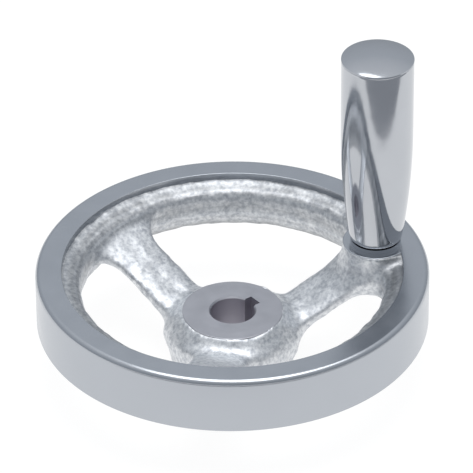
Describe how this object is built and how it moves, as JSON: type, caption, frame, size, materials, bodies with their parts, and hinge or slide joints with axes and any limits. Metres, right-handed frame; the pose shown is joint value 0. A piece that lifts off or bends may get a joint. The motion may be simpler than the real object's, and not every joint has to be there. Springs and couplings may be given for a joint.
{
  "type": "valve handwheel",
  "caption": "Dished spoked handwheel with a keyed bore and a revolving barrel handle, for opening and shutting a water valve or turning a spindle.",
  "frame": {"origin": "middle of the shaft bore, at the hub's back face", "axes": "+Z along the bore towards the handle side, +X from the bore to the handle's axis"},
  "size_m": [0.14, 0.14, 0.1208],
  "materials": {
    "plated_casting": "cast iron, chrome-plated: rim face and outer wall ground and polished, inside left as cast",
    "plated_steel": "turned steel, polished and chrome-plated",
    "bare_steel": "turned steel, oiled",
    "spring_steel": "blackened spring steel",
    "bronze": "sintered bearing bronze, oil-filled"
  },
  "bodies": {
    "wheel": {"handwheel": "plated_casting", "handle_spindle": "plated_steel", "thrust_washer": "bare_steel", "retaining_ring": "spring_steel"},
    "grip": {"handle_sleeve": "plated_steel", "lower_bush": "bronze", "upper_bush": "bronze", "sleeve_end_cap": "plated_steel"}
  },
  "joints": [
    {"name": "grip_turn", "type": "hinge", "parent": "wheel", "child": "grip", "pos_m": [0.054, 0, 0.0425], "axis": [0, 0, 1], "continuous": true}
  ]
}
